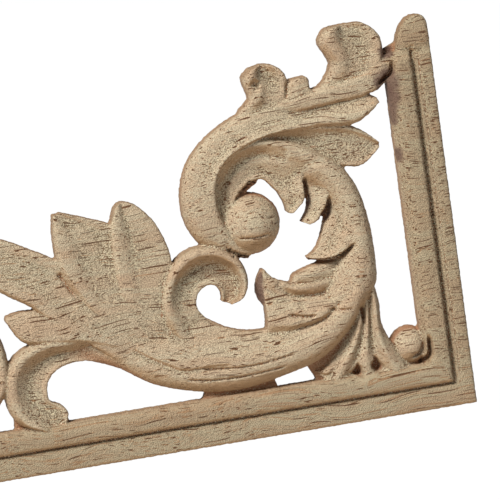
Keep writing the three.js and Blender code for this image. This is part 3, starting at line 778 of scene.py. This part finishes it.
def markHollows(mesh):
    points = pointsOf(mesh)
    normals = np.empty(len(points) * 3, np.float32)
    mesh.vertices.foreach_get("normal", normals)
    normals = normals.reshape(-1, 3)
    for name, (turns, depth) in marks.items():
        soft = worked(mesh.copy(), ("SMOOTH", {"factor": carving["smoothing"], "iterations": turns}))
        stand = ((pointsOf(soft) - points) * normals).sum(axis=1) * 1000 / depth
        mark = mesh.attributes.new(name, "FLOAT", "POINT")
        mark.data.foreach_set("value", np.clip(stand, -1, 1).astype(np.float32))


def addNode(tree, kind, settings=None, inputs=None):
    node = tree.nodes.new(kind)
    for name, value in (settings or {}).items():
        setattr(node, name, value)
    for name, value in (inputs or {}).items():
        socket = node.inputs[name]
        if isinstance(value, bpy.types.NodeSocket):
            tree.links.new(value, socket)
        else:
            socket.default_value = value
    return node


def maths(tree, operation, first, second=0.0, third=0.0, clamp=False):
    settings = {"operation": operation, "use_clamp": clamp}
    node = addNode(tree, "ShaderNodeMath", settings, {0: first, 1: second, 2: third})
    return node.outputs[0]


def blend(tree, share, first, second, how="MIX"):
    settings = {"data_type": "RGBA", "blend_type": how}
    node = addNode(tree, "ShaderNodeMix", settings, {0: share, 6: first, 7: second})
    return node.outputs[2]


def between(tree, value, low, high):
    settings = {"interpolation_type": "SMOOTHSTEP"}
    inputs = {"Value": value, "From Min": low, "From Max": high}
    return addNode(tree, "ShaderNodeMapRange", settings, inputs).outputs["Result"]


# Parts of the grain, each with its size along and across in millimetres, and the range of the
# noise that shows.
grain = {
    "bands": {"size": (90, 7), "detail": 3, "range": (0.42, 0.66)},
    "streaks": {"size": (45, 0.6), "detail": 4, "range": (0.42, 0.68)},
    "dashes": {"size": (15, 0.3), "detail": 0, "range": (0.738, 0.775)},
    "cracks": {"size": (34, 0.5), "detail": 0, "range": (0.73, 0.755)},
    "longLines": {"size": (150, 0.55), "detail": 1, "range": (0.58, 0.66)},
    "castShadeEdges": {"size": (4, 2.4), "detail": 3},
    "fuzz": {"size": (0.42, 0.34), "detail": 1, "roughness": 0.7},
    "sway": {"scale": 0.035, "reach": (0, 9, 9)},
}


def grainNoise(tree, place, name):
    part = grain[name]
    along, across = part["size"]
    scaled = addNode(
        tree, "ShaderNodeVectorMath", {"operation": "MULTIPLY"},
        {0: place, 1: (1 / along, 1 / across, 1 / across)},
    ).outputs[0]
    inputs = {
        "Vector": scaled, "Scale": 1, "Detail": part["detail"],
        "Roughness": part.get("roughness", 0.55),
    }
    return addNode(tree, "ShaderNodeTexNoise", None, inputs).outputs["Fac"]


def grainShare(tree, place, name):
    return between(tree, grainNoise(tree, place, name), *grain[name]["range"])


# Colours are linear, and those that end in Tint are multiplied in.
paleWood = {
    "straw": (0.432, 0.353, 0.238, 1),
    "rose": (0.402, 0.287, 0.184, 1),
    # hollow: the scoops' greyer tone, made darker as painted shade in the hollows
    "hollow": (0.324, 0.279, 0.192, 1),
    # umber: painted shade for the creases and the low bridges
    "shadeUmber": (0.29, 0.125, 0.055, 1),
    "crumb": (0.6, 0.5, 0.36, 1),
    "pore": (0.075, 0.03, 0.01, 1),
    "poreRim": (0.33, 0.165, 0.07, 1),
    # rim: brown of the long grain lines; on steep walls it is partly painted shade
    "rim": (0.27, 0.15, 0.072, 1),
    # undersideShade: painted shade on faces turned down, away from the light from above
    "undersideShade": (0.36, 0.20, 0.085, 1),
    # stain: colour of the painted shadows
    "castShade": (0.12, 0.065, 0.045, 1),
    # railsShadeTint: painted shade, the rails darkened for facing straight out, away from the light
    "railsShadeTint": (0.765, 0.75, 0.7, 1),
    "darkFuzzTint": (0.34, 0.25, 0.16, 1),
    "lightFuzzTint": (1.5, 1.5, 1.4, 1),
    "strengths": {
        "streaks": 0.85, "hollow": 0.8, "halo": 0.75, "pore": 0.9, "steep": 0.5, "undersideShade": 0.78,
        "webShade": 0.8, "castShade": 0.85,
    },
    "railEdge": (7.6, 6.6),  # up, or to the outer side, where the rails' colour starts, partly their own and partly painted shade
    "scooped": (-0.15, 0.4),  # range of the mark for hollows
    "tornShare": (0.32, 0.68),  # fuzz everywhere, and more of it in hollows
    "railFuzz": -0.6,
    "darkFuzz": (0.5, 0.4),
    "lightFuzz": (0.5, 0.62),
    "postDashes": 0.03,
    "dashShare": (0.9, -0.5),  # dashes everywhere, and fewer on the lying rail
    "halo": (0.67, 0.735),
    "lineShare": (0.15, 0.65),  # long lines everywhere, and more of them on the lying rail
    "steep": (0.6, 0.1),  # how far walls face forward
    "under": (-0.05, -0.6),  # how far undersides face up
    # webs: heights out of the board of the low bridges, which are given painted shade
    "webs": (-4.2, -2.6),  # places out of the board that count as low
    "webFacing": (0.2, -0.4),
    # Painted shadows, dark patches where shade falls on walls and low bridges, each with its place,
    # height and radius.
    "castShades": [
        [14.8, 102, 5, 4.6], [15, 97, 5, 4], [15.2, 91.5, 5, 3.2], [14.8, 79.5, 5, 2.8],
        [14.4, 111.6, 4, 3.2], [62.8, 45.6, 3.6, 2.6], [62.4, 42, 3.6, 2.2], [61.9, 49, 4, 1.9],
        [44.6, 69.5, 2.5, 2.8], [39, 65.6, 2.5, 3], [16.5, 99.4, 3, 2.4],
    ],
    "castShadeWander": 0.9,  # these three are shares of a painted shadow's radius
    "castShadeEdge": (1.6, 1.1),
    "creaseShadeRange": (0.12, 0.8),
    "bareFuzz": (0.48, 0.62),
    "creaseShare": (0.85, -0.75),
    "crumbCreases": (0.15, 0.6),
    "crumbFuzz": (0.56, 0.66),
    "bumpHeight": 0.0006,
    "roughness": 0.75,
    "shine": 0.3,
}


def weaker(tree, share, name):
    return maths(tree, "MULTIPLY", share, paleWood["strengths"][name])


# A share that goes up or down with another value, from its first setting by its second.
def leaning(tree, value, name):
    start, change = paleWood[name]
    return maths(tree, "MULTIPLY_ADD", value, change, start)


# What the colours are read from: places in millimetres, noises, and marks and sides of the carving.
def woodSources(tree):
    own = addNode(tree, "ShaderNodeTexCoord").outputs["Object"]
    place = addNode(
        tree, "ShaderNodeVectorMath", {"operation": "SCALE"}, {0: own, "Scale": 1000},
    ).outputs[0]
    sway = addNode(
        tree, "ShaderNodeTexNoise", None,
        {"Vector": place, "Scale": grain["sway"]["scale"], "Detail": 1},
    ).outputs["Color"]
    moved = addNode(
        tree, "ShaderNodeVectorMath", {"operation": "MULTIPLY_ADD"},
        {0: sway, 1: grain["sway"]["reach"], 2: place},
    ).outputs[0]
    across, out, upward = addNode(tree, "ShaderNodeSeparateXYZ", None, {0: place}).outputs
    outermost, innermost = paleWood["railEdge"]
    sources = {
        "place": place,
        "moved": moved,
        "out": out,
        "fuzz": grainNoise(tree, place, "fuzz"),
        "onRail": between(tree, upward, outermost, innermost),
        "onPost": between(tree, across, -outermost, -innermost),
    }
    for name in marks:
        mark = addNode(tree, "ShaderNodeAttribute", {"attribute_name": name})
        sources[name] = mark.outputs["Fac"]
    return sources


# Bands and streaks of the grain, with a greyer fuzz where the gouge left the fibres torn. Hollows are
# painted greyer and darker: partly the scoops' own fuzzy tone, partly painted shade.
def grainColour(tree, wood):
    bands = grainShare(tree, wood["moved"], "bands")
    colour = blend(tree, bands, paleWood["straw"], paleWood["rose"])
    streaks = weaker(tree, grainShare(tree, wood["moved"], "streaks"), "streaks")
    colour = blend(tree, streaks, colour, paleWood["rose"])
    scooped = between(tree, wood["hollows"], *paleWood["scooped"])
    colour = blend(tree, weaker(tree, scooped, "hollow"), colour, paleWood["hollow"])
    onRail = maths(tree, "MULTIPLY_ADD", wood["onRail"], paleWood["railFuzz"], 1)
    torn = maths(tree, "MULTIPLY", leaning(tree, scooped, "tornShare"), onRail)
    for name in ("darkFuzz", "lightFuzz"):
        share = maths(tree, "MULTIPLY", between(tree, wood["fuzz"], *paleWood[name]), torn)
        colour = blend(tree, share, colour, paleWood[name + "Tint"], "MULTIPLY")
    # The rails are multiplied darker as painted shade.
    onRails = maths(tree, "MAXIMUM", wood["onRail"], wood["onPost"])
    return blend(tree, onRails, colour, paleWood["railsShadeTint"], "MULTIPLY")


# Open pores, as fine dashes and bolder cracks along the grain, and the warmer rim of the cracks. The
# lying rail has fewer dashes and the standing one has more.
def openPores(tree, wood):
    dashes = grainNoise(tree, wood["moved"], "dashes")
    dashes = maths(tree, "MULTIPLY_ADD", wood["onPost"], paleWood["postDashes"], dashes)
    dashes = between(tree, dashes, *grain["dashes"]["range"])
    dashes = maths(tree, "MULTIPLY", dashes, leaning(tree, wood["onRail"], "dashShare"))
    cracks = grainNoise(tree, wood["moved"], "cracks")
    seams = between(tree, cracks, *grain["cracks"]["range"])
    halo = weaker(tree, between(tree, cracks, *paleWood["halo"]), "halo")
    return maths(tree, "MAXIMUM", dashes, seams, clamp=True), halo


def poredColour(tree, wood, colour, opened, halo):
    colour = blend(tree, maths(tree, "MAXIMUM", opened, halo), colour, paleWood["poreRim"])
    colour = blend(tree, weaker(tree, opened, "pore"), colour, paleWood["pore"])
    lines = grainShare(tree, wood["moved"], "longLines")
    lines = maths(tree, "MULTIPLY", lines, leaning(tree, wood["onRail"], "lineShare"))
    return blend(tree, lines, colour, paleWood["rim"])


# Walls cut steeply into the board are browner, partly the cut walls' own burnt tone and partly painted
# shade. Undersides and the low bridges are painted darker brown as painted shade.
def wallAndUnderShade(tree, wood, colour):
    normal = addNode(tree, "ShaderNodeNewGeometry").outputs["Normal"]
    _, facing, rising = addNode(tree, "ShaderNodeSeparateXYZ", None, {0: normal}).outputs
    # Steep walls are painted browner: partly the cut walls' own burnt tone, partly painted shade.
    steep = between(tree, maths(tree, "ABSOLUTE", facing), *paleWood["steep"])
    colour = blend(tree, weaker(tree, steep, "steep"), colour, paleWood["rim"])
    # Painted shade: faces that turn down are painted a warm darker brown.
    under = between(tree, rising, *paleWood["under"])
    colour = blend(tree, weaker(tree, under, "undersideShade"), colour, paleWood["undersideShade"])
    # Painted shade: the low bridges, sunk between the carving and the rails, are painted dark brown.
    low = between(tree, wood["out"], *paleWood["webs"])
    low = maths(tree, "MULTIPLY", low, between(tree, facing, *paleWood["webFacing"]))
    return blend(tree, weaker(tree, low, "webShade"), colour, paleWood["shadeUmber"])


# Painted shadows are round dark patches, with a ragged border from a patchy noise.
def castShadeColour(tree, wood, colour):
    ragged = grainNoise(tree, wood["place"], "castShadeEdges")
    for left, up, height, radius in paleWood["castShades"]:
        gap = addNode(
            tree, "ShaderNodeVectorMath", {"operation": "DISTANCE"},
            {0: wood["place"], 1: tuple(onBoard(left, up, height) * 1000)},
        ).outputs["Value"]
        gap = maths(tree, "MULTIPLY_ADD", ragged, radius * paleWood["castShadeWander"], gap)
        outer, inner = paleWood["castShadeEdge"]
        castShade = between(tree, gap, radius * outer, radius * inner)
        colour = blend(tree, weaker(tree, castShade, "castShade"), colour, paleWood["castShade"])
    return colour


# Creases are painted a darker brown as painted shade, less where the fuzz is light, and get light
# crumbs of torn wood.
def creaseShadeAndCrumbs(tree, wood, colour):
    bare = between(tree, wood["fuzz"], *paleWood["bareFuzz"])
    # Painted shade: creases are darkened towards umber.
    creaseShade = between(tree, wood["creases"], *paleWood["creaseShadeRange"])
    creaseShade = maths(tree, "MULTIPLY", creaseShade, leaning(tree, bare, "creaseShare"))
    colour = blend(tree, creaseShade, colour, paleWood["shadeUmber"])
    crumbs = between(tree, wood["creases"], *paleWood["crumbCreases"])
    loose = between(tree, wood["fuzz"], *paleWood["crumbFuzz"])
    return blend(tree, maths(tree, "MULTIPLY", crumbs, loose), colour, paleWood["crumb"])


def makePaleWood():
    material = bpy.data.materials.new("pale_wood")
    material.use_nodes = True
    tree = material.node_tree
    tree.nodes.clear()
    wood = woodSources(tree)
    opened, halo = openPores(tree, wood)
    colour = poredColour(tree, wood, grainColour(tree, wood), opened, halo)
    colour = castShadeColour(tree, wood, wallAndUnderShade(tree, wood, colour))
    colour = creaseShadeAndCrumbs(tree, wood, colour)

    height = maths(tree, "SUBTRACT", wood["fuzz"], opened)
    relief = addNode(
        tree, "ShaderNodeBump", None,
        {"Strength": 1.0, "Distance": paleWood["bumpHeight"], "Height": height},
    ).outputs["Normal"]
    surface = addNode(
        tree, "ShaderNodeBsdfPrincipled", None,
        {"Base Color": colour, "Roughness": paleWood["roughness"],
         "Specular IOR Level": paleWood["shine"], "Normal": relief},
    )
    output = addNode(tree, "ShaderNodeOutputMaterial")
    tree.links.new(surface.outputs[0], output.inputs[0])
    return material


# The view of the photograph: a long lens from a little to the left and above.
camera = {
    "eye": (-299.9, 284.5, 1500),
    "aim": (-63.59, 58.04, 6),
    "roll": 7.874,
    "lens": 363.7,
    "sensor": 36,
    "clipEnd": 100,
}


def addCamera():
    data = bpy.data.cameras.new("camera")
    data.lens = camera["lens"]
    data.sensor_width = camera["sensor"]
    data.clip_end = camera["clipEnd"]
    places = camera["eye"], camera["aim"]
    eye, aim = [Vector(onBoard(-right, up, out)) for right, up, out in places]
    turn = (aim - eye).to_track_quat("-Z", "Y").to_matrix().to_4x4()
    roll = Matrix.Rotation(-np.radians(camera["roll"]), 4, "Z")
    holder = bpy.data.objects.new("camera", data)
    holder.matrix_world = Matrix.Translation(eye) @ turn @ roll
    bpy.context.scene.collection.objects.link(holder)
    bpy.context.scene.camera = holder


lights = {
    "skyStrength": 0.15,
    "sunStrength": 5.6,
    "sunFrom": (-0.6, -0.62, 0.95),
    "sunAngle": 20,
    "floorDrop": 0.15,
    "floorSize": 30,
    "floorColour": (0.71, 0.71, 0.71, 1),
    "floorRoughness": 0.9,
}


def addLights():
    data = bpy.data.lights.new("window", "SUN")
    data.energy = lights["sunStrength"]
    data.angle = np.radians(lights["sunAngle"])
    lamp = bpy.data.objects.new("window", data)
    lamp.rotation_euler = Vector(lights["sunFrom"]).to_track_quat("Z", "Y").to_euler()
    bpy.context.scene.collection.objects.link(lamp)
    world = bpy.data.worlds.new("room")
    world.use_nodes = True
    sky = world.node_tree.nodes["Background"]
    sky.inputs["Color"].default_value = (1, 1, 1, 1)
    sky.inputs["Strength"].default_value = lights["skyStrength"]
    bpy.context.scene.world = world
    bpy.context.scene.view_settings.view_transform = "Standard"


def addFloor():
    ground = bmesh.new()
    bmesh.ops.create_grid(ground, x_segments=2, y_segments=2, size=lights["floorSize"])
    drop = cadBox[0][2] - lights["floorDrop"]
    bmesh.ops.translate(ground, verts=ground.verts[:], vec=(0, 0, drop))
    mesh = bpy.data.meshes.new("floor")
    ground.to_mesh(mesh)
    ground.free()
    floor = bpy.data.objects.new("floor", mesh)
    bpy.context.scene.collection.objects.link(floor)
    paint = bpy.data.materials.new("floor_paint")
    paint.use_nodes = True
    surface = paint.node_tree.nodes["Principled BSDF"]
    surface.inputs["Base Color"].default_value = lights["floorColour"]
    surface.inputs["Roughness"].default_value = lights["floorRoughness"]
    mesh.materials.append(paint)


addCamera()
addLights()
addFloor()
print("stage set")

onlay = carvedPiece()
onlay.data.materials.clear()
onlay.data.materials.append(makePaleWood())
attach(onlay, "root")
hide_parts("corner_onlay")
print("onlay carved")
